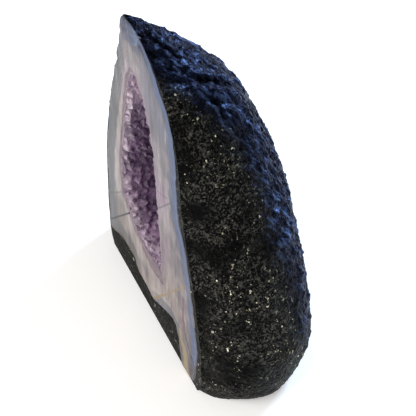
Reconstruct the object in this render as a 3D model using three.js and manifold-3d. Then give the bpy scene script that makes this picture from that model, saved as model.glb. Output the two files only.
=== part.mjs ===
// A sawn amethyst geode of the cathedral kind, standing on its flat base.
//
// Millimetres, +Z up. The sawn, polished face looks along -Y. The origin is at the middle of the
// base, on the surface that the geode stands on.
//
// Three bodies of rock that grew on each other:
//   rind            the dark, lumpy basalt crust with its thick flat foot
//   quartz_wall     the pale agate and quartz wall, polished at the front, hollow inside
//   amethyst_druse  the crystals that line the hollow, grown together
//
// Each body starts as a boulder, a stack of rounded level sections, and is then sawn and hollowed.

import * as THREE from 'three';
import { mergeVertices } from 'three/addons/utils/BufferGeometryUtils.js';
import Module from 'manifold-3d';

const wasm = await Module();
wasm.setup();

// ---- driving dimensions ----

const HEIGHT = 430;          // base to the tip of the sawn face
const SAW_STEP = 5;          // how far the polished wall stands in front of the crust
const WALL_SHARE = [0.98, 0.92, 0.993];  // size of the pale wall against the whole nodule
const WALL_FIT = 0.996;      // the wall shrinks this much in its crust, which leaves 0.3 mm or more
const DRUSE_FIT = 0.992;     // and the crystals this much in the wall
const FOOT_GAP = 0.5;        // clearance between the wall and the foot below it
const LINING_SHARE = 0.86;   // open room inside the crystal crust, against the hollow
const LINING_SETBACK = 1;    // crystal crust behind the polished face
const SECTION_POWER = 2.2;   // 2 is an ellipse, more is squarer

const CRYSTALS = 72;
const CRYSTAL_RADIUS = [6, 9.5];
const CRYSTAL_POINT = 1.2;   // length of the pointed end, in radii
const CRYSTAL_STEM = 0.1;    // and of the six-sided stem below it
const CRYSTAL_ROOT = 2;      // and of the root in the crystal crust
const FIRST_SEAT = 0.04;     // bare share of the hollow's height at its floor and at its top

// A boulder's level sections, from below the base to above the tip:
// height, middle along X, half width, middle along Y, half depth.
const NODULE = [
  [-30, 0, 152, 72, 92],
  [0, 2, 184, 72, 103],
  [60, 5, 201, 75, 103],
  [130, 3, 191, 74, 100],
  [200, 1, 166, 68, 96],
  [260, 2, 135, 60, 90],
  [320, 12, 102, 40, 86],
  [370, 15, 72, 18, 78],
  [405, 8, 49, -10, 60],
  [418, 0, 42, -22, 51],
  [HEIGHT, -12, 32, -36, 41],
  [HEIGHT + 12, -20, 18, -50, 28],
];

const HOLLOW = [
  [104, -12, 34, 34, 40],
  [114, -12, 60, 28, 72],
  [140, -13, 66, 24, 96],
  [190, -13, 64, 22, 102],
  [250, -7, 54, 18, 96],
  [310, -2, 43, 10, 78],
  [350, -4, 28, 2, 52],
  [372, -8, 9, -8, 20],
];
const HOLLOW_TILT = 0.38;    // the floor of the hollow falls this much towards +X

// Upper edge of the foot on the sawn face, from the left, with the gap for the quartz tail.
const FOOT_LINE = [
  [-230, 22], [-150, 30], [-99, 52], [-72, 57], [-50, 55], [-38, 41], [0, 36],
  [23, 33], [47, 44], [70, 56], [89, 61], [101, 49], [104, 32], [111, 0],
];
const TAIL_DEPTH = 45;       // the quartz tail at the right corner stops this far behind the face
const TAIL_HEIGHT = 40;      // and the foot behind it stands this high
const TAIL_LIFT = 1.5;       // crust left between the tail and the base
const BELOW_BASE = 50;       // cutters start this far below the base

// ---- materials ----

const crustFinish = new THREE.MeshStandardMaterial({ color: 0x15161a, roughness: 0.35, metalness: 0 });
const quartzFinish = new THREE.MeshStandardMaterial({ color: 0xb9b3bd, roughness: 0.25, metalness: 0 });
const amethystFinish = new THREE.MeshStandardMaterial({ color: 0x6b4a8e, roughness: 0.12, metalness: 0 });

// ---- solids ----

function toSolid(geometry) {
  const bare = geometry.clone();
  bare.deleteAttribute('normal');
  bare.deleteAttribute('uv');
  const merged = mergeVertices(bare, 1e-4);
  return new wasm.Manifold(new wasm.Mesh({
    numProp: 3,
    vertProperties: new Float32Array(merged.attributes.position.array),
    triVerts: new Uint32Array(merged.index.array),
  }));
}

function toMesh(name, solid, material) {
  const { vertProperties, triVerts } = solid.getMesh();
  const geometry = new THREE.BufferGeometry();
  geometry.setAttribute('position', new THREE.BufferAttribute(vertProperties, 3));
  geometry.setIndex(new THREE.BufferAttribute(triVerts, 1));
  geometry.computeVertexNormals();
  const mesh = new THREE.Mesh(geometry, material);
  mesh.name = name;
  return mesh;
}

function block(low, high) {
  const size = high.map((value, axis) => value - low[axis]);
  const geometry = new THREE.BoxGeometry(...size);
  geometry.translate(...low.map((value, axis) => value + size[axis] / 2));
  return toSolid(geometry);
}

// ---- boulders ----

function sectionReader(sections) {
  const heights = sections.map((row) => row[0]);
  const values = sections.flatMap((row) => row.slice(1));
  return new THREE.CubicInterpolant(heights, values, 4, new Float64Array(4));
}

function squarish(value) {
  return Math.sign(value) * Math.abs(value) ** (2 / SECTION_POWER);
}

// A point on a boulder. `around` is an angle from +X, `share` runs from 0 at the bottom to 1, and
// `reach` from 0 on the axis to 1 on the surface.
function boulderPoint(sections, around, share, reach = 1, tilt = 0) {
  const low = sections[0][0];
  const high = sections.at(-1)[0];
  const level = low + share * (high - low);
  const [middleX, halfWidth, middleY, halfDepth] = sectionReader(sections).evaluate(level);
  const outX = reach * halfWidth * squarish(Math.cos(around));
  const outY = reach * halfDepth * squarish(Math.sin(around));
  return new THREE.Vector3(middleX + outX, middleY + outY, level - tilt * (1 - share) * outX);
}

function boulder(sections, sides, levels, tilt) {
  const geometry = new THREE.CylinderGeometry(1, 1, 1, sides, levels);
  const position = geometry.attributes.position;
  for (let i = 0; i < position.count; i += 1) {
    const reach = Math.hypot(position.getX(i), position.getZ(i));
    const around = Math.atan2(-position.getZ(i), position.getX(i));
    const point = boulderPoint(sections, around, position.getY(i) + 0.5, reach, tilt);
    position.setXYZ(i, point.x, point.y, point.z);
  }
  return geometry;
}

// The same boulder, shrunk about a point.
function shrunk(geometry, share, about = [0, 0, 0]) {
  return geometry.clone()
    .translate(...about.map((value) => -value))
    .scale(...share)
    .translate(...about);
}

// ---- sawing ----

const FAR = 600;             // well outside the nodule

const behind = (y, floor = 0) => block([-FAR, y, floor], [FAR, FAR, FAR]);

// ---- the foot that the crust keeps below the quartz ----

function footPrism(rise) {
  const shape = new THREE.Shape();
  shape.moveTo(-FAR, -BELOW_BASE);
  shape.lineTo(-FAR, FOOT_LINE[0][1] + rise);
  shape.lineTo(FOOT_LINE[0][0] + rise, FOOT_LINE[0][1] + rise);
  shape.splineThru(FOOT_LINE.slice(1).map(([x, z]) => new THREE.Vector2(x + rise, z + rise)));
  shape.lineTo(FOOT_LINE.at(-1)[0] + rise, -BELOW_BASE);
  const geometry = new THREE.ExtrudeGeometry(shape, {
    depth: 2 * FAR, bevelEnabled: false, curveSegments: 2,
  });
  geometry.rotateX(Math.PI / 2);
  geometry.translate(0, FAR, 0);
  const behindTail = block([0, TAIL_DEPTH - rise, -BELOW_BASE], [FAR, FAR, TAIL_HEIGHT + rise]);
  return toSolid(geometry).add(behindTail);
}

// ---- the crust ----

const nodule = boulder(NODULE, 44, 24);
const wallOutside = shrunk(nodule, WALL_SHARE);
const NODULE_HEART = [0, 30, 180];

function makeRind() {
  return toSolid(nodule)
    .intersect(behind(SAW_STEP))
    .subtract(toSolid(wallOutside).intersect(behind(-FAR, TAIL_LIFT)).subtract(footPrism(0)));
}

// ---- the pale wall ----

const hollow = boulder(HOLLOW, 28, 14, HOLLOW_TILT);
const HOLLOW_HEART = [-8, 20, 210];

function makeQuartzWall() {
  return toSolid(shrunk(wallOutside, Array(3).fill(WALL_FIT), NODULE_HEART))
    .intersect(behind(0, TAIL_LIFT + FOOT_GAP))
    .subtract(footPrism(FOOT_GAP))
    .subtract(toSolid(hollow));
}

// ---- the crystals ----

function crystal(radius) {
  const outline = [
    new THREE.Vector2(0, -radius * CRYSTAL_ROOT),
    new THREE.Vector2(radius, -radius * CRYSTAL_ROOT),
    new THREE.Vector2(radius, radius * CRYSTAL_STEM),
    new THREE.Vector2(0, radius * (CRYSTAL_STEM + CRYSTAL_POINT)),
  ];
  return new THREE.LatheGeometry(outline, 6);
}

function makeDruse() {
  const room = shrunk(hollow, Array(3).fill(DRUSE_FIT), HOLLOW_HEART);
  const open = shrunk(boulder(HOLLOW, 18, 10, HOLLOW_TILT), Array(3).fill(LINING_SHARE), HOLLOW_HEART);
  const up = new THREE.Vector3(0, 1, 0);
  const turnPerCrystal = Math.PI * (3 - Math.sqrt(5));
  const [smallest, largest] = CRYSTAL_RADIUS;

  let druse = toSolid(room).subtract(toSolid(open));
  for (let i = 0; i < CRYSTALS; i += 1) {
    const around = i * turnPerCrystal;
    const share = FIRST_SEAT + (1 - 2 * FIRST_SEAT) * (i + 0.5) / CRYSTALS;
    const seat = boulderPoint(HOLLOW, around, share, LINING_SHARE, HOLLOW_TILT);
    const middle = boulderPoint(HOLLOW, around, share, 0, HOLLOW_TILT);
    const radius = smallest + (largest - smallest) * ((i * 0.618) % 1);
    const inward = middle.sub(seat).normalize();
    const geometry = crystal(radius);
    geometry.rotateY(i);
    geometry.applyQuaternion(new THREE.Quaternion().setFromUnitVectors(up, inward));
    geometry.translate(seat.x, seat.y, seat.z);
    druse = druse.add(toSolid(geometry));
  }
  return druse.intersect(toSolid(room)).intersect(behind(LINING_SETBACK));
}

// ---- the geode ----

const geode = new THREE.Group();
geode.add(
  toMesh('rind', makeRind(), crustFinish),
  toMesh('quartz_wall', makeQuartzWall(), quartzFinish),
  toMesh('amethyst_druse', makeDruse(), amethystFinish),
);

// The base's middle becomes the origin.
const extent = new THREE.Box3().setFromObject(geode);
geode.position.set(
  -(extent.min.x + extent.max.x) / 2,
  -(extent.min.y + extent.max.y) / 2,
  -extent.min.z,
);

export default geode;
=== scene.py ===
import math
import random

import bpy
import numpy as np
from mathutils import Matrix, Vector, kdtree, noise


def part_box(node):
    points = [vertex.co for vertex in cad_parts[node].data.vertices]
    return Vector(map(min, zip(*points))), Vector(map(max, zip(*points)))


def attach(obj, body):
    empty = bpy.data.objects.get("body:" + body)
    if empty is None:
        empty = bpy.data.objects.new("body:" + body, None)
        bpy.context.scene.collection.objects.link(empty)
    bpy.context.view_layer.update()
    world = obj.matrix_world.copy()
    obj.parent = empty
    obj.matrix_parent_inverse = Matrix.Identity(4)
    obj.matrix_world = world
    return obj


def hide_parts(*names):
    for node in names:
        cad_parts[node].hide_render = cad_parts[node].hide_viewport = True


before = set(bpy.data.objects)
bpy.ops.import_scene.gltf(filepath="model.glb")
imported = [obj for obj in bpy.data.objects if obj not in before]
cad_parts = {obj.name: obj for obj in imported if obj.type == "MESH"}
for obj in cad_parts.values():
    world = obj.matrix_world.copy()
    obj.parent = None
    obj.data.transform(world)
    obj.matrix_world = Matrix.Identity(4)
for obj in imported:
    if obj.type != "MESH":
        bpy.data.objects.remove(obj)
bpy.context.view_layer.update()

# ---- Camera ----
# It stands to the right of the sawn face and above it, and looks down along the face.

CAMERA_AZIMUTH = math.radians(64.8)
CAMERA_ELEVATION = math.radians(42.0)
CAMERA_DISTANCE = 1.15
CAMERA_TARGET = Vector((-0.0223, 0.0040, 0.1340))
CAMERA_LENS = 77.88

towards_camera = Vector((
    math.sin(CAMERA_AZIMUTH) * math.cos(CAMERA_ELEVATION),
    -math.cos(CAMERA_AZIMUTH) * math.cos(CAMERA_ELEVATION),
    math.sin(CAMERA_ELEVATION),
))
bpy.ops.object.camera_add(location=CAMERA_TARGET + towards_camera * CAMERA_DISTANCE)
camera = bpy.context.object
camera.rotation_euler = (-towards_camera).to_track_quat("-Z", "Y").to_euler()
camera.data.lens = CAMERA_LENS
camera.data.clip_start = 0.01
bpy.context.scene.camera = camera

# ---- Hollow ----
# The room that the crystals grew into. It is only a tool here: it cuts the pale wall and
# bounds the crystals, and it isn't part of the finished piece.

MERGE_GAP = 1e-5
SKIN_ANGLE = math.radians(40)
FLAT_ANGLE = math.radians(0.05)
SHARP_ANGLE = math.radians(25)
FLAT_NORMAL = 0.99
SMOOTH_LEVELS = 2
OUTLINE_STEP = 0.0005
OUTLINE_SLACK = 1e-4
CUT_SIZE = 1.0
HOLLOW_REACH = 0.02
HOLLOW_MARGIN = 0.001
DEEP_FROM = 0.05

face_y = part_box("quartz_wall")[0].y
hollow_low, hollow_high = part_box("amethyst_druse")
hollow_middle = (hollow_low + hollow_high) / 2


def start_from(node, name):
    bpy.ops.object.select_all(action="DESELECT")
    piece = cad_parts[node].copy()
    piece.data = piece.data.copy()
    bpy.context.scene.collection.objects.link(piece)
    for key in list(piece.keys()):
        del piece[key]
    piece.parent = None
    piece.name = piece.data.name = name
    piece.data.materials.clear()
    piece.select_set(True)
    bpy.context.view_layer.objects.active = piece
    bpy.ops.object.mode_set(mode="EDIT")
    bpy.ops.mesh.select_all(action="SELECT")
    bpy.ops.mesh.remove_doubles(threshold=MERGE_GAP)
    bpy.ops.object.mode_set(mode="OBJECT")
    return piece


def twin(piece, name):
    other = piece.copy()
    other.data = piece.data.copy()
    other.name = other.data.name = name
    bpy.context.scene.collection.objects.link(other)
    return other


def only(piece):
    bpy.ops.object.select_all(action="DESELECT")
    piece.select_set(True)
    bpy.context.view_layer.objects.active = piece


def select_faces(piece, wanted):
    only(piece)
    bpy.ops.object.mode_set(mode="EDIT")
    bpy.ops.mesh.select_mode(type="FACE")
    bpy.ops.mesh.select_all(action="DESELECT")
    bpy.ops.object.mode_set(mode="OBJECT")
    for face in piece.data.polygons:
        face.select = wanted(face)
    bpy.ops.object.mode_set(mode="EDIT")


def select_skin(piece, seed):
    select_faces(piece, lambda face: face.index == seed)
    bpy.ops.mesh.faces_select_linked_flat(sharpness=SKIN_ANGLE)


def select_open_edge():
    bpy.ops.mesh.select_mode(type="EDGE")
    bpy.ops.mesh.select_all(action="DESELECT")
    bpy.ops.mesh.select_non_manifold()


def finish_with(piece, kind, **settings):
    modifier = piece.modifiers.new(kind.title(), kind)
    for key, value in settings.items():
        setattr(modifier, key, value)
    only(piece)
    bpy.ops.object.modifier_apply(modifier=modifier.name)


def carve(piece, tool, operation="DIFFERENCE"):
    finish_with(piece, "BOOLEAN", object=tool, operation=operation, solver="MANIFOLD")


def saw_off(piece, y, z):
    """Keeps what lies behind y and above z."""
    bpy.ops.mesh.primitive_cube_add(size=CUT_SIZE, location=(0, y + CUT_SIZE / 2, z + CUT_SIZE / 2))
    block = bpy.context.object
    carve(piece, block, "INTERSECT")
    bpy.data.objects.remove(block)


def round_off(piece):
    """Smooths the skin and keeps the sawn edges sharp."""
    only(piece)
    bpy.ops.object.mode_set(mode="EDIT")
    bpy.ops.mesh.select_all(action="SELECT")
    bpy.ops.mesh.dissolve_limited(angle_limit=FLAT_ANGLE)
    bpy.ops.mesh.select_mode(type="EDGE")
    bpy.ops.mesh.select_all(action="DESELECT")
    bpy.ops.mesh.edges_select_sharp(sharpness=SHARP_ANGLE)
    bpy.ops.transform.edge_crease(value=1)
    bpy.ops.mesh.select_all(action="SELECT")
    bpy.ops.mesh.quads_convert_to_tris()
    bpy.ops.object.mode_set(mode="OBJECT")
    finish_with(piece, "SUBSURF", levels=SMOOTH_LEVELS, render_levels=SMOOTH_LEVELS)


def deepest_in_hollow(piece):
    inside = [
        face for face in piece.data.polygons
        if all(
            hollow_low[axis] < face.center[axis] < hollow_high[axis] + HOLLOW_MARGIN
            for axis in range(3)
        )
        and face.normal.y < -0.5 and face.center.y > face_y + DEEP_FROM
    ]
    return min(inside, key=lambda face: abs(face.center.z - hollow_middle.z)).index


def outline(piece):
    """The edge of the flat front as a tree of close points, to measure distances from."""
    front = min(vertex.co.y for vertex in piece.data.vertices) + OUTLINE_SLACK
    flat, rounded = set(), set()
    for face in piece.data.polygons:
        is_flat = face.normal.y < -FLAT_NORMAL and face.center.y < front
        (flat if is_flat else rounded).update(face.edge_keys)
    points = []
    for start, end in sorted(flat & rounded):
        first, last = piece.data.vertices[start].co, piece.data.vertices[end].co
        steps = max(1, round((last - first).length / OUTLINE_STEP))
        points += [first.lerp(last, step / steps) for step in range(steps)]
    tree = kdtree.KDTree(len(points))
    for index, point in enumerate(points):
        tree.insert((point.x, 0, point.z), index)
    tree.balance()
    return tree


hollow = start_from("quartz_wall", "hollow")
select_skin(hollow, deepest_in_hollow(hollow))
bpy.ops.mesh.select_all(action="INVERT")
bpy.ops.mesh.delete(type="FACE")
select_open_edge()
bpy.ops.mesh.extrude_edges_move(TRANSFORM_OT_translate={"value": (0, -HOLLOW_REACH, 0)})
bpy.ops.mesh.edge_face_add()
bpy.ops.mesh.select_all(action="SELECT")
bpy.ops.mesh.normals_make_consistent(inside=False)
bpy.ops.object.mode_set(mode="OBJECT")
round_off(hollow)
hollow_outline = outline(hollow)

# ---- Pale wall ----
# Agate and milky quartz that lined the nodule, sawn and polished flat at the front. Its outer
# edge was ground to a small uneven bevel, and the stone is cracked and stained with iron.

WALL_VOXEL = 0.0019
WALL_TONE = (0.555, 0.530, 0.530)
FRONT_DEPTH = 0.03
EDGE_REACH = 0.022
# Height, and how far the outer edge at the right is set in there.
EDGE_INSETS = (
    (0.000, 0.012), (0.030, 0.012), (0.060, 0.008), (0.090, 0.005), (0.228, 0.005),
    (0.240, 0.011), (0.300, 0.010), (0.336, 0.005), (0.350, 0.000), (0.377, 0.002),
    (0.387, 0.008), (0.400, 0.006), (0.430, 0.002),
)
# Size and frequency of the edge's unevenness.
EDGE_WOBBLES = ((0.00294, 60), (0.00210, 150))
# Height, and how far the stone leans out at the left there.
LEANS = ((0.280, 0.000), (0.330, 0.001), (0.370, 0.0025), (0.405, 0.0045), (0.420, 0.0035), (0.430, 0.002))
LEAN_WIDTH = 0.02
PEAK_X = -0.034
PEAK_WIDTH = 0.007
PEAK_LIFT = 0.0045
PEAK_FROM = 0.400
PEAK_TO = 0.420
BURIED_FROM = 0.008
BURIED_INSET = 0.006
HIDDEN_SHARE = 0.45
BEVEL_WIDTH = 0.0046
BEVEL_DEPTH = 0.0022
LEFT_BEVEL = ((-0.06, 0.3), (-0.02, 1))
# Share and frequency of the bevel's unevenness.
BEVEL_WOBBLES = ((0.5, 45), (0.3, 160))
# Places where the edge is chipped, across and up, and the size of the chip.
CHIPS = (
    (0.060, 0.388, 0.006),
    (0.100, 0.237, 0.006),
    (0.136, 0.050, 0.006),
    (-0.128, 0.190, 0.004),
)


def read(piece, what, name="vector"):
    rows = np.empty(len(what) * 3)
    what.foreach_get(name, rows)
    return rows.reshape(-1, 3)


def look_up(table, where):
    return np.interp(where, *zip(*table))


def wobble(point, waves):
    return sum(size * noise.noise(point * frequency) for size, frequency in waves)


def lean_peak(piece):
    """Leans the front of the stone to the left and pulls its peak to a point."""
    points = read(piece, piece.data.vertices, "co")
    x, y, z = points.T.copy()
    front = np.clip(1 - (y - face_y) / FRONT_DEPTH, 0, 1)
    points[:, 0] -= front * np.clip(-x / LEAN_WIDTH, 0, 1) * look_up(LEANS, z)
    top = front * look_up(((PEAK_FROM, 0), (PEAK_TO, 1)), z)
    points[:, 2] += top * PEAK_LIFT * np.exp(-((x - PEAK_X) / PEAK_WIDTH) ** 2)
    piece.data.vertices.foreach_set("co", points.ravel())


wall = start_from("quartz_wall", "wall")
select_skin(wall, deepest_in_hollow(wall))
bpy.ops.mesh.delete(type="FACE")
select_open_edge()
bpy.ops.mesh.edge_face_add()
bpy.ops.object.mode_set(mode="OBJECT")
round_off(wall)
lean_peak(wall)
flat_outline = outline(wall)
buried = wall.vertex_groups.new(name="buried")
for vertex in wall.data.vertices:
    flat = Vector((vertex.co.x, 0, vertex.co.z))
    behind = vertex.co.y - face_y
    near = math.exp(-(flat_outline.find(flat)[2] / EDGE_REACH) ** 2) * max(0, 1 - behind / FRONT_DEPTH)
    inset = float(look_up(EDGE_INSETS, flat.z)) if flat.x > 0 else 0
    vertex.co.x -= near * (inset + wobble(flat, EDGE_WOBBLES))
    buried.add([vertex.index], min(max(behind / BURIED_FROM - 1, 0), 1), "REPLACE")
finish_with(wall, "DISPLACE", strength=-BURIED_INSET, mid_level=0, vertex_group="buried")
plug = twin(wall, "plug")
wall_outline = outline(plug)
carve(wall, hollow)
finish_with(wall, "REMESH", mode="VOXEL", voxel_size=WALL_VOXEL)
hidden = wall.vertex_groups.new(name="hidden")
hidden.add(
    [vertex.index for vertex in wall.data.vertices if vertex.co.y > face_y + BURIED_FROM], 1, "REPLACE")
finish_with(wall, "DECIMATE", ratio=HIDDEN_SHARE, vertex_group="hidden")

edge_distance = wall.data.attributes.new("edge", "FLOAT", "POINT")
rim_distance = wall.data.attributes.new("rim", "FLOAT", "POINT")
for vertex in wall.data.vertices:
    flat = Vector((vertex.co.x, 0, vertex.co.z))
    edge = wall_outline.find(flat)[2]
    edge_distance.data[vertex.index].value = edge
    rim_distance.data[vertex.index].value = hollow_outline.find(flat)[2]
    side = float(look_up(LEFT_BEVEL, flat.x))
    depth = BEVEL_DEPTH * side
    width = BEVEL_WIDTH * (1 + wobble(flat, BEVEL_WOBBLES))
    for x, z, size in CHIPS:
        width += size * math.exp(-((flat.x - x) ** 2 + (flat.z - z) ** 2) / size ** 2)
    width *= side
    if vertex.co.y < face_y + depth and edge < width:
        vertex.co.y = max(vertex.co.y, face_y + depth * (1 - edge / width))
    elif vertex.co.y < face_y + WALL_VOXEL / 2:
        vertex.co.y = face_y
only(wall)
bpy.ops.object.shade_smooth()

# Cracks and stains on the face: start, end, width, strength and colour.
STAINS = (
    ((-0.146, 0.048), (-0.028, 0.161), 0.0019, 0.92, (0.020, 0.017, 0.015, 1)),
    ((0.029, 0.208), (0.083, 0.263), 0.0016, 0.50, (0.080, 0.080, 0.100, 1)),
    ((0.036, 0.244), (0.074, 0.262), 0.0016, 0.35, (0.110, 0.110, 0.130, 1)),
    ((-0.132, 0.108), (-0.091, 0.141), 0.0018, 0.45, (0.110, 0.110, 0.120, 1)),
    ((0.000, 0.026), (0.049, 0.084), 0.0026, 0.80, (0.500, 0.390, 0.170, 1)),
    ((0.049, 0.084), (0.118, 0.167), 0.0022, 0.60, (0.500, 0.390, 0.200, 1)),
    ((0.104, 0.132), (0.112, 0.101), 0.0050, 0.75, (0.260, 0.120, 0.190, 1)),
    ((0.112, 0.101), (0.116, 0.082), 0.0042, 0.80, (0.300, 0.130, 0.170, 1)),
    ((0.116, 0.082), (0.123, 0.061), 0.0024, 0.95, (0.050, 0.020, 0.030, 1)),
    ((0.123, 0.061), (0.131, 0.038), 0.0020, 0.95, (0.040, 0.020, 0.026, 1)),
)


def srgb(red, green, blue):
    return tuple(
        (part / 255 / 12.92) if part < 10.3 else ((part / 255 + 0.055) / 1.055) ** 2.4
        for part in (red, green, blue)
    ) + (1,)


class Wire:
    """An output socket that can be added, multiplied and fed to other shader nodes."""

    def __init__(self, socket):
        self.socket = socket

    def node(self, kind, settings, values, output=0):
        tree = self.socket.id_data
        new = tree.nodes.new("ShaderNode" + kind)
        for key, value in settings.items():
            if key != "stops":
                setattr(new, key, value)
        for place, (position, colour) in enumerate(settings.get("stops", ())):
            if place > 1:
                new.color_ramp.elements.new(position)
            new.color_ramp.elements[place].position = position
            new.color_ramp.elements[place].color = colour
        for key, value in values.items():
            if isinstance(value, Wire):
                tree.links.new(value.socket, new.inputs[key])
            else:
                new.inputs[key].default_value = value
        return Wire(new.outputs[output])

    def maths(self, operation, *values):
        return self.node("Math", {"operation": operation}, dict(enumerate(values)))

    def __add__(self, other):
        return self.maths("ADD", self, other)

    def __sub__(self, other):
        return self.maths("SUBTRACT", self, other)

    def __rsub__(self, other):
        return self.maths("SUBTRACT", other, self)

    def __mul__(self, other):
        return self.maths("MULTIPLY", self, other)

    def __truediv__(self, other):
        return self.maths("DIVIDE", self, other)

    __radd__ = __add__
    __rmul__ = __mul__

    def larger(self, other):
        return self.maths("MAXIMUM", self, other)

    def smaller(self, other):
        return self.maths("MINIMUM", self, other)

    def root(self):
        return self.maths("SQRT", self)

    def stripes(self):
        """Soft stripes between 0 and 1, one for each turn of this angle."""
        return self.maths("SINE", self) * 0.5 + 0.5

    def between(self, low, high):
        """0 below low, 1 above high and a soft slope between them."""
        return self.node("MapRange", {"interpolation_type": "SMOOTHSTEP"},
                         {"Value": self, "From Min": low, "From Max": high})

    def mix(self, first, second):
        return self.node("Mix", {"data_type": "RGBA"}, {0: self, 6: first, 7: second}, 2)

    def part(self, letter):
        return self.node("SeparateXYZ", {}, {0: self}, letter)

    def stretched(self, factors):
        return self.node("VectorMath", {"operation": "MULTIPLY"}, {0: self, 1: factors})

    def moved(self, amount):
        return self.node("VectorMath", {"operation": "ADD"}, {0: self, 1: amount})

    def noise(self, size, detail=2):
        return self.node("TexNoise", {}, {"Vector": self, "Scale": 1 / size, "Detail": detail})

    def cells(self, size):
        return self.node("TexVoronoi", {}, {"Vector": self, "Scale": 1 / size})

    def attribute(self, name):
        return self.node("Attribute", {"attribute_name": name}, {}, "Fac")

    def bumps(self, height, strength):
        return self.node("Bump", {}, {"Height": self, "Distance": height, "Strength": strength})


def new_material(piece, name):
    material = bpy.data.materials.new(name)
    material.use_nodes = True
    piece.data.materials.clear()
    piece.data.materials.append(material)
    place = Wire(material.node_tree.nodes.new("ShaderNodeTexCoord").outputs["Object"])
    return material.node_tree.nodes["Principled BSDF"], place


def wire_up(shader, **sockets):
    for name, wire in sockets.items():
        shader.id_data.links.new(wire.socket, shader.inputs[name.replace("_", " ")])


def set_up(shader, **sockets):
    for name, value in sockets.items():
        shader.inputs[name.replace("_", " ")].default_value = value


def line_distance(place, start, end):
    along = (end[0] - start[0], end[1] - start[1])
    across, up = place.part("X") - start[0], place.part("Z") - start[1]
    share = (across * along[0] + up * along[1]) / (along[0] ** 2 + along[1] ** 2)
    share = share.larger(0).smaller(1)
    across, up = across - share * along[0], up - share * along[1]
    return (across * across + up * up).root()


shader, place = new_material(wall, "polished_quartz")
across, depth, up = place.part("X"), place.part("Y"), place.part("Z")
upright = place.stretched((1, 1, 0.22))
waves = upright.noise(0.020, 3) - 0.5
fibres = upright.noise(0.0055, 5)
marbling = upright.noise(0.016, 4)
streaks = place.stretched((1, 1, 0.12)).noise(0.0085, 2)
clouds = place.noise(0.034, 3)
edge = place.attribute("edge") + waves * 0.012
rim = place.attribute("rim") + waves * 0.010
right = across.between(0.0, 0.02)
foot = up.between(0.120, 0.105)

colour = clouds.between(0.40, 0.60).mix(srgb(152, 147, 152), srgb(182, 175, 177))
pink = place.noise(0.026, 2).between(0.42, 0.62) * across.between(0.01, 0.03) * up.between(0.30, 0.25)
colour = (pink * rim.between(0.034, 0.016) * 0.9).mix(colour, srgb(170, 142, 164))
cream = rim.between(0.034, 0.014) * across.between(0.0, -0.03) * up.between(0.34, 0.30)
colour = (cream * 0.9).mix(colour, srgb(204, 194, 190))
upper_right = up.between(0.305, 0.345) * across.between(0.0, 0.025)
colour = (upper_right * 0.85).mix(colour, srgb(140, 139, 153))
low_cream = up.between(0.155, 0.110) * clouds.between(0.32, 0.5)
colour = (low_cream * 0.9).mix(colour, srgb(194, 183, 176))
brown = up.between(0.145, 0.120) * across.between(-0.060, -0.085)
colour = (brown * 0.8).mix(colour, srgb(146, 130, 118))
left_band = (edge + streaks * 0.008).between(0.031, 0.027) * across.between(-0.02, -0.05)
colour = (left_band * 0.95).mix(colour, srgb(128, 128, 126))
right_band = (edge + place.cells(0.016) * 0.010).between(0.020, 0.015)
right_band = right_band * across.between(-0.06, -0.03) * up.between(0.14, 0.22)
colour = (right_band * 0.85).mix(colour, srgb(134, 138, 156))
colour = (up.between(0.395, 0.418) * 0.9).mix(colour, srgb(104, 108, 128))
foot_band = (edge + streaks * 0.004).between(0.021, 0.018) * foot * right
colour = (foot_band * 0.9).mix(colour, srgb(152, 152, 160))
foot_line = edge.between(0.0245, 0.0225) * edge.between(0.0185, 0.0205) * foot * right
colour = (foot_line * 0.7).mix(colour, srgb(206, 206, 214))
tail = across.between(0.088, 0.096) * up.between(0.110, 0.080)
colour = (tail * 0.8).mix(colour, srgb(132, 125, 132))
banded = left_band.larger(foot_band * 0.7).larger(right_band * 0.6)
colour = ((edge * 2100 + waves * 5).stripes() * banded * 0.45).mix(colour, srgb(96, 98, 104))
agate = (rim * 1300 + waves * 8).stripes() * rim.between(0.040, 0.004)
colour = (agate * 0.20).mix(colour, srgb(236, 226, 232))
lilac = rim.between(0.011, 0.001) * marbling.between(0.36, 0.60)
colour = (lilac * 0.7).mix(colour, srgb(196, 176, 190))
colour = colour.stretched(1 + (streaks - 0.5) * 0.9 + (fibres - 0.5) * 1.1 + (marbling - 0.5) * 0.9)
wisps = marbling.between(0.58, 0.68) * fibres.between(0.45, 0.60)
colour = (wisps * 0.45).mix(colour, srgb(214, 206, 206))
foot_edge = edge.between(0.007, 0.001) * up.between(0.125, 0.100) * across.between(0.115, 0.100)
colour = (foot_edge * 0.85).mix(colour, srgb(112, 88, 70))

bent = place.moved((place.noise(0.014, 3) - 0.5) * 0.009 + (place.noise(0.036, 1) - 0.5) * 0.022)
tail_vein = line_distance(bent, (0.096, 0.066), (0.115, 0.000)).between(0.009, 0.003)
tail_vein = tail_vein * across.between(0.088, 0.096) * up.between(0.085, 0.070)
colour = (tail_vein * 0.85).mix(colour, srgb(206, 186, 140))
for start, end, width, strength, tone in STAINS:
    gap = line_distance(bent, start, end)
    colour = (gap.between(width, width * 0.4) * strength).mix(colour, tone)
# Painted reflection: the ground bevel is tinted pale blue for the cool light it catches.
painted_bevel_reflection = edge.between(BEVEL_WIDTH * 1.2, BEVEL_WIDTH * 0.7)
painted_bevel_reflection = painted_bevel_reflection * across.between(-0.04, 0.0) * up.between(0.02, 0.06)
colour = (painted_bevel_reflection * 0.8).mix(colour, srgb(138, 156, 190))
inside = depth.between(face_y + 0.002, face_y + 0.006) * rim.between(0.004, 0.001)
colour = inside.mix(colour, srgb(196, 180, 192))
wire_up(shader, Base_Color=colour.stretched(WALL_TONE), Roughness=0.26 + fibres * 0.2,
        Normal=(fibres + clouds * 2).bumps(0.0004, 0.5))
set_up(shader, Specular_IOR_Level=0.08)

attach(wall, "root")
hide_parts("quartz_wall")
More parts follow.
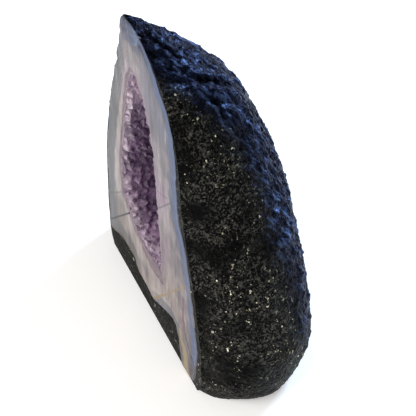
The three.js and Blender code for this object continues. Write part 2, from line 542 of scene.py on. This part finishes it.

# ---- Crust ----
# The dark basalt skin of the nodule, lumpy and varnished black. It was sawn off flat at the
# front and under the base, and a thick foot of it is left below the pale wall. Its top and its
# far side carry a painted blue sheen, with painted highlights and glints, standing in for the
# reflection of a cool light from behind.

CRUST_VOXEL = 0.0022
CRUST_SPARE = 0.012
SIDE_SLACK = 0.0004
SAWN_BACK = 0.0024
RIM_INSET = 0.0022
SHOULDER = 0.0035
RIM_CALM = 0.016
LEFT_CALM = 0.30
RIGHT_CALM = 0.75
RIGHT_FROM = -0.03
SMOOTH_ANGLE = math.radians(60)
RIDGE_TILT = math.radians(33)
RIDGE_STRETCH = 2.6
# The side that the ridges grow on, which also gets the painted blue sheen.
WEATHER_AND_SHEEN_SIDE = Vector((-0.35, 0.72, 0.60))
WEATHER_AND_SHEEN_GAIN = 1.5
WEATHER_AND_SHEEN_BASE = 0.12
SHELTERED = 0.22
# Height and width of a fold, and the line that it follows.
FOLDS = (
    (0.0032, 0.0060, (
        (0.060, -0.086, 0.392), (0.069, -0.063, 0.387), (0.064, -0.037, 0.382), (0.061, -0.004, 0.364),
    )),
    (0.0026, 0.0050, (
        (0.016, -0.081, 0.425), (0.041, -0.061, 0.407), (0.047, -0.039, 0.393), (0.044, -0.010, 0.380),
    )),
    (0.0022, 0.0045, (
        (0.071, -0.067, 0.384), (0.074, -0.042, 0.374), (0.087, -0.035, 0.352), (0.096, -0.022, 0.330),
    )),
    (0.0020, 0.0040, ((-0.005, -0.074, 0.427), (0.010, -0.065, 0.420), (0.026, -0.050, 0.410))),
)
# Texture, height and middle of the lumps, whether they are ridges that weather made, and the rest.
LUMPS = (
    ("CLOUDS", 0.0070, 0.47, False, {"noise_scale": 0.055, "noise_depth": 1}),
    ("VORONOI", 0.0032, 0.38, True, {"noise_scale": 0.010, "noise_intensity": 1.1}),
    ("CLOUDS", 0.0046, 0.50, True, {"noise_scale": 0.007, "noise_type": "HARD_NOISE", "noise_depth": 3}),
    ("CLOUDS", 0.0022, 0.50, False, {"noise_scale": 0.004, "noise_depth": 1}),
)

crust = start_from("rind", "crust")
cad_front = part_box("rind")[0].y
crust_front = face_y + SAWN_BACK
select_skin(crust, max(crust.data.polygons, key=lambda face: face.center.y).index)
bpy.ops.object.mode_set(mode="OBJECT")
skin = {face.index for face in crust.data.polygons if face.select}
select_faces(crust, lambda face: not (
    face.index in skin
    or (face.normal.y < -FLAT_NORMAL and face.center.y < cad_front + SIDE_SLACK)
    or (face.normal.z < -FLAT_NORMAL and face.center.z < SIDE_SLACK)
))
bpy.ops.mesh.delete(type="FACE")
select_open_edge()
bpy.ops.mesh.edge_face_add()
bpy.ops.object.mode_set(mode="OBJECT")
for side, shift in (("y", (0, -CRUST_SPARE, 0)), ("z", (0, 0, -CRUST_SPARE))):
    low = min(getattr(vertex.co, side) for vertex in crust.data.vertices) + SIDE_SLACK
    select_faces(crust, lambda face: (
        getattr(face.normal, side) < -FLAT_NORMAL and getattr(face.center, side) < low
    ))
    bpy.ops.mesh.extrude_region_move(TRANSFORM_OT_translate={"value": shift})
    bpy.ops.object.mode_set(mode="OBJECT")
round_off(crust)
finish_with(crust, "REMESH", mode="VOXEL", voxel_size=CRUST_VOXEL)
lean_peak(crust)


def line_gap(points, start, end):
    along = np.array(end) - start
    share = np.clip((points - start) @ along / (along @ along), 0, 1)
    return np.linalg.norm(points - start - share[:, None] * along, axis=1)


def roughen(piece, kind, height, middle, along=None, group="", **settings):
    texture = bpy.data.textures.new(kind.title(), kind)
    for key, value in settings.items():
        setattr(texture, key, value)
    finish_with(piece, "DISPLACE", texture=texture, texture_coords="OBJECT" if along else "LOCAL",
                texture_coords_object=along, strength=height, mid_level=middle, vertex_group=group)


smooth_points = read(crust, crust.data.vertices, "co")
smooth_normals = read(crust, crust.data.vertex_normals)
# How much the skin faces that side: it sets how strong the ridges grow, and where the painted blue sheen
# goes.
weather = smooth_normals @ np.array(WEATHER_AND_SHEEN_SIDE.normalized())
weather = np.clip(weather * WEATHER_AND_SHEEN_GAIN + WEATHER_AND_SHEEN_BASE, 0, 1)
weathered = crust.vertex_groups.new(name="weathered")
for index, share in enumerate(weather):
    weathered.add([index], SHELTERED + (1 - SHELTERED) * share, "REPLACE")

lift = np.zeros(len(smooth_points))
for height, width, stops in FOLDS:
    gap = np.min([line_gap(smooth_points, *ends) for ends in zip(stops, stops[1:])], axis=0) / width
    lift += height * (np.exp(-gap ** 2) - 0.6 * np.exp(-((gap - 1.9) / 0.6) ** 2))
crust.data.vertices.foreach_set("co", (smooth_points + smooth_normals * lift[:, None]).ravel())

bpy.ops.object.empty_add(rotation=(RIDGE_TILT, 0, 0))
slant = bpy.context.object
slant.scale.z = RIDGE_STRETCH
bpy.context.view_layer.update()
for kind, height, middle, is_ridge, settings in LUMPS:
    along, group = (slant, "weathered") if is_ridge else (None, "")
    roughen(crust, kind, height, middle, along, group, **settings)

# The lumps fade out towards the sawn front, and the skin there curves in to meet the wall.
rough_points = read(crust, crust.data.vertices, "co")
behind = (smooth_points[:, 1] - crust_front) / RIM_CALM
calm = np.clip(behind, LEFT_CALM, 1)
calm = np.where(smooth_points[:, 0] > RIGHT_FROM, np.maximum(calm, RIGHT_CALM), calm)
rim_share = np.clip(1 - behind, 0, 1)
rim_drop = np.where(smooth_points[:, 0] < 0, RIM_INSET * rim_share, SHOULDER * rim_share ** 2)
rough_points = smooth_points + (rough_points - smooth_points) * calm[:, None]
rough_points -= smooth_normals * rim_drop[:, None]
crust.data.vertices.foreach_set("co", rough_points.ravel())
relief = ((rough_points - smooth_points) * smooth_normals).sum(axis=1)
nearest_point = kdtree.KDTree(len(rough_points))
for index, point in enumerate(rough_points):
    nearest_point.insert(point, index)
nearest_point.balance()

saw_off(crust, crust_front, 0)
carve(crust, plug)
for tool in (plug, slant):
    bpy.data.objects.remove(tool)
crust.vertex_groups.clear()
origins = [nearest_point.find(vertex.co)[1] for vertex in crust.data.vertices]
for name, source in (("relief", relief), ("weather", weather)):
    crust.data.attributes.new(name, "FLOAT", "POINT").data.foreach_set("value", source[origins])
only(crust)
bpy.ops.object.shade_smooth_by_angle(angle=SMOOTH_ANGLE)
for face in crust.data.polygons:
    if face.normal.y < -FLAT_NORMAL or face.normal.z < -FLAT_NORMAL:
        face.use_smooth = False

BLACK = (0.0012, 0.0012, 0.0011, 1)
GRANULE = (0.0980, 0.0970, 0.0850, 1)
BLUE_BLACK = (0.0010, 0.0014, 0.0030, 1)
PAINTED_CREST_SHEEN = (0.0058, 0.0088, 0.0230, 1)
PAINTED_BLUE_GLINT = (0.0700, 0.1180, 0.2500, 1)

shader, place = new_material(crust, "basalt_crust")
across, up = place.part("X"), place.part("Z")
relief, weather = place.attribute("relief"), place.attribute("weather")
sawn = place.part("Y").between(crust_front + 0.0016, crust_front + 0.0006)
sawn = sawn * up.between(0.150, 0.120) * across.between(0.125, 0.110)
# sheen is where the skin is painted blue for the reflection of the cool light; it is also made metallic
# there.
sheen = weather.between(0.20, 0.80) * (1 - sawn) * up.between(0.010, 0.150)
bare = (1 - sawn * 0.45) * (1 - sheen * 0.9)
grain = place.noise(0.0050, 4)
dust = place.noise(0.0021, 2)
turned = place.node("Mapping", {}, {"Vector": place, "Rotation": (-RIDGE_TILT, 0, 0)})
scales = turned.stretched((1, 1, 0.45)).noise(0.0075, 3)
granules = grain.between(0.51, 0.66) * 0.5 + dust.between(0.52, 0.64) * 0.6
colour = (granules * place.noise(0.034, 2).between(0.30, 0.62) * bare).mix(BLACK, GRANULE)
# Painted highlights: pale and near-white flecks stand in for glints of warm lamps on the dark skin.
painted_speck_highlights = place.noise(0.0036, 3).between(0.64, 0.69) * place.noise(0.030, 2).between(0.50, 0.62)
colour = (painted_speck_highlights * bare * 0.9).mix(colour, srgb(190, 186, 158))
painted_sparkles = place.noise(0.0052, 4).between(0.665, 0.690) * place.noise(0.050, 1).between(0.50, 0.60)
colour = (painted_sparkles * bare).mix(colour, srgb(250, 244, 220))
# Painted reflection: brighter blue on the crests and painted blue glints, stronger on the right limb,
# stand in for highlights of the cool back lamp.
painted_crest_sheen = scales.between(0.42, 0.62) * 0.6 + relief.between(-0.0020, 0.0016) * 0.4
painted_glints = turned.stretched((1, 1, 0.38)).noise(0.0060, 4).between(0.50, 0.67)
painted_glints = painted_glints * relief.between(-0.0016, 0.0012)
limb_glint_boost = across.between(0.060, 0.130) * up.between(0.36, 0.30)
blue = painted_crest_sheen.mix(BLUE_BLACK, PAINTED_CREST_SHEEN)
blue = (painted_glints * (limb_glint_boost * 0.55 + 0.42)).mix(blue, PAINTED_BLUE_GLINT)
pits = dust * 0.5 + grain + scales * weather * 1.4
wire_up(shader, Base_Color=sheen.mix(colour, blue), Metallic=sheen * 0.8,
        Roughness=0.44 - weather * 0.14 + sawn * 0.2, Normal=(pits * (1 - sawn * 0.5)).bumps(0.0026, 0.9))
set_up(shader, IOR=1.5, Specular_Tint=(0.68, 0.68, 0.74, 1), Specular_IOR_Level=0.05)

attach(crust, "root")
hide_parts("rind")

# ---- Amethyst ----
# Violet quartz crystals on a thin bed of the same quartz, which lines the hollow. They are one
# grown-together solid, pale near the sawn face and deeper coloured further in, partly their own
# colour and partly painted shade of the deep hollow.

ROOM_VOXEL = 0.003
ROOM_LUMPS = 0.006
BED_THICKNESS = 0.0045
BED_GAP = 0.0002
BED_SPARE = 0.001
FILLED_TO = 0.114
CRYSTAL_SPACING = 0.0095
CRYSTAL_CROWDING = 0.8
CRYSTAL_TRIES = 12000
CRYSTAL_POINT = 1.15
CRYSTAL_RADIUS = (0.0040, 0.0085)
CRYSTAL_REACH = (0.0030, 0.0085)
CRYSTAL_GROWTH = (0.75, 1.75)
CRYSTAL_GROWN_AT = 0.06
GROUP_GAP = 1.9

druse_front = hollow_low.y
dice = random.Random(5)

room = twin(hollow, "room")
finish_with(room, "REMESH", mode="VOXEL", voxel_size=ROOM_VOXEL)
roughen(room, "CLOUDS", ROOM_LUMPS, 0.5 + BED_THICKNESS / ROOM_LUMPS, noise_scale=0.025, noise_depth=1)
saw_off(room, face_y - 2 * HOLLOW_REACH, FILLED_TO)
jacket = twin(hollow, "jacket")
finish_with(jacket, "DISPLACE", strength=-BED_GAP, mid_level=0)
bed = twin(hollow, "amethyst")
finish_with(bed, "DISPLACE", strength=BED_SPARE, mid_level=0)
carve(bed, room)

bpy.ops.object.select_all(action="DESELECT")
bpy.ops.mesh.primitive_cylinder_add(vertices=6, radius=1, depth=1, location=(0, 0, -0.5))
crystal = bpy.context.object
bpy.ops.object.transform_apply()
select_faces(crystal, lambda face: face.normal.z > 0.9)
bpy.ops.mesh.extrude_region_move(TRANSFORM_OT_translate={"value": (0, 0, CRYSTAL_POINT)})
bpy.ops.mesh.merge(type="CENTER")
bpy.ops.object.mode_set(mode="OBJECT")

seats = []
grid = {}
for _ in range(CRYSTAL_TRIES):
    start = Vector(tuple(dice.uniform(hollow_low[axis], hollow_high[axis]) for axis in range(3)))
    _, seat, outward, _ = room.closest_point_on_mesh(start)
    cell = tuple(math.floor(value / CRYSTAL_SPACING) for value in seat)
    near = [
        other for a in (-1, 0, 1) for b in (-1, 0, 1) for c in (-1, 0, 1)
        for other in grid.get((cell[0] + a, cell[1] + b, cell[2] + c), ())
    ]
    if all((seat - other).length > CRYSTAL_SPACING * CRYSTAL_CROWDING for other in near):
        grid.setdefault(cell, []).append(seat)
        seats.append((seat, -outward))

# Crystals that stand clear of each other are joined to the bed together, a group at a time.
groups = []
for seat, axis in seats:
    axis.x += dice.uniform(-0.35, 0.35)
    axis.y += dice.uniform(-0.45, 0.15)
    axis.z += dice.uniform(-0.35, 0.35)
    axis.normalize()
    radius = dice.uniform(*CRYSTAL_RADIUS)
    radius *= float(np.interp(seat.y, (druse_front, druse_front + CRYSTAL_GROWN_AT), CRYSTAL_GROWTH))
    reach = dice.uniform(*CRYSTAL_REACH)
    turn = Vector((0, 0, 1)).rotation_difference(axis).to_matrix().to_4x4()
    scale = Matrix.Diagonal((radius, radius * dice.uniform(0.75, 1), radius * dice.uniform(0.9, 1.2), 1))
    pose = Matrix.Translation(seat + axis * (reach - radius * 1.1)) @ turn
    copy = twin(crystal, "crystal")
    copy.data.transform(pose @ Matrix.Rotation(dice.uniform(0, math.tau), 4, "Z") @ scale)
    for group in groups:
        if all((seat - other).length > (radius + size) * GROUP_GAP for other, size, _ in group):
            group.append((seat, radius, copy))
            break
    else:
        groups.append([(seat, radius, copy)])
for group in groups:
    bpy.ops.object.select_all(action="DESELECT")
    for _, _, copy in group:
        copy.select_set(True)
    bpy.context.view_layer.objects.active = group[0][2]
    bpy.ops.object.join()
    cluster = bpy.context.object
    carve(bed, cluster, "UNION")
    bpy.data.objects.remove(cluster)
carve(bed, jacket, "INTERSECT")
saw_off(bed, druse_front, 0)
growth = bed.data.attributes.new("growth", "FLOAT", "POINT")
for vertex in bed.data.vertices:
    growth.data[vertex.index].value = (hollow.closest_point_on_mesh(vertex.co)[1] - vertex.co).length
for tool in (room, jacket, hollow, crystal):
    bpy.data.objects.remove(tool)

AMETHYST_IOR = 1.545
ABSORBED = (0.55, 0.30, 0.75, 1)
DENSITY = 22
DEEP_AT = 0.075
# Pale at the sawn face, violet at full depth: partly the crystals' own colour, partly painted shade of the
# deep hollow.
DEPTH_COLOURS = (
    (0.00, srgb(226, 206, 220)),
    (0.22, srgb(236, 216, 234)),
    (0.48, srgb(194, 162, 196)),
    (0.75, srgb(160, 132, 164)),
    (1.00, srgb(122, 98, 132)),
)

shader, place = new_material(bed, "amethyst")
across, back, up = place.part("X"), place.part("Y"), place.part("Z")
depth = back - across * 0.35 + (place.noise(0.030, 2) - 0.5) * 0.045 - up.between(0.28, 0.36) * 0.03
share = depth.node("MapRange", {},
                   {"Value": depth, "From Min": druse_front, "From Max": druse_front + DEEP_AT})
colour = share.node("ValToRGB", {"stops": DEPTH_COLOURS}, {0: share})
patch = place.noise(0.011, 2)
colour = (patch.between(0.55, 0.70) * 0.5).mix(colour, srgb(140, 100, 160))
colour = (patch.between(0.44, 0.32) * 0.5).mix(colour, srgb(238, 222, 232))
# Painted shade: darker purple patches further into the hollow.
shade = place.noise(0.036, 1).between(0.42, 0.60) * depth.between(druse_front + 0.01, druse_front + 0.03)
colour = (shade * 0.5).mix(colour, srgb(76, 54, 90))
pale = across.between(-0.020, -0.050) * back.between(druse_front + 0.015, druse_front + 0.003)
colour = (pale * place.noise(0.018, 2).between(0.30, 0.50) * 0.9).mix(colour, srgb(240, 222, 236))
frost = place.noise(0.0034, 3)
colour = (frost.between(0.54, 0.70) * 0.32).mix(colour, srgb(200, 174, 206))
colour = (frost.between(0.48, 0.34) * 0.50).mix(colour, srgb(72, 54, 82))
growth = place.attribute("growth") + (place.noise(0.004, 2) - 0.5) * 0.005
cut = back.between(druse_front + 0.0012, druse_front + 0.0004)
colour = (cut * growth.between(0.0055, 0.0020)).mix(colour, srgb(150, 138, 142))
colour = (cut * growth.between(0.0028, 0.0065) * 0.8).mix(colour, srgb(120, 100, 126))
filled = up.between(FILLED_TO + 0.004, FILLED_TO - 0.004) * place.noise(0.006, 3).between(0.36, 0.56)
colour = (cut * filled).mix(colour, srgb(152, 136, 140))
wire_up(shader, Base_Color=colour, Roughness=0.10 + cut * 0.7,
        Normal=(place.noise(0.0016, 2) + frost).bumps(0.0005, 0.5))
set_up(shader, IOR=AMETHYST_IOR, Specular_IOR_Level=0.22, Transmission_Weight=0.35)
volume = shader.id_data.nodes.new("ShaderNodeVolumeAbsorption")
set_up(volume, Color=ABSORBED, Density=DENSITY)
shader.id_data.links.new(volume.outputs[0], shader.id_data.nodes["Material Output"].inputs["Volume"])

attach(bed, "root")
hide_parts("amethyst_druse")

# ---- Floor and light ----
# A bright white floor, one big soft lamp in front, a cool one high behind the stone and a small
# warm one high at its right, on an even white surrounding.

FLOOR_SIZE = 12
FLOOR_GLOW = 0.30
LAMP_TARGET = Vector((0, 0, 0.2))
SURROUNDING = (1.0, 0.99, 0.97, 1)
SURROUNDING_STRENGTH = 0.42
# Place, size, power and colour.
LAMPS = {
    "front_lamp": ((0.3, -1.5, 1.5), 1.2, 25, (1.0, 0.97, 0.94)),
    "back_lamp": ((-0.55, 1.50, 1.10), 0.6, 50, (0.62, 0.78, 1.0)),
    "side_lamp": ((1.5, -0.1, 1.5), 0.25, 2.5, (1.0, 0.93, 0.8)),
}

bpy.ops.object.select_all(action="DESELECT")
bpy.ops.mesh.primitive_plane_add(size=FLOOR_SIZE)
floor = bpy.context.object
floor.name = "floor"
shader, place = new_material(floor, "floor")
wire_up(shader, Base_Color=place.noise(0.6).mix(srgb(240, 240, 240), srgb(244, 244, 244)))
set_up(shader, Roughness=0.9, Specular_IOR_Level=0.1,
       Emission_Color=(1, 1, 1, 1), Emission_Strength=FLOOR_GLOW)

for name, (place, size, power, colour) in LAMPS.items():
    bpy.ops.object.light_add(type="AREA", location=place)
    lamp = bpy.context.object
    lamp.name = name
    lamp.rotation_euler = (lamp.location - LAMP_TARGET).to_track_quat("Z", "Y").to_euler()
    lamp.data.size = size
    lamp.data.energy = power
    lamp.data.color = colour

world = bpy.data.worlds.new("studio")
world.use_nodes = True
set_up(world.node_tree.nodes["Background"], Color=SURROUNDING, Strength=SURROUNDING_STRENGTH)
bpy.context.scene.world = world
bpy.context.scene.view_settings.view_transform = "Standard"
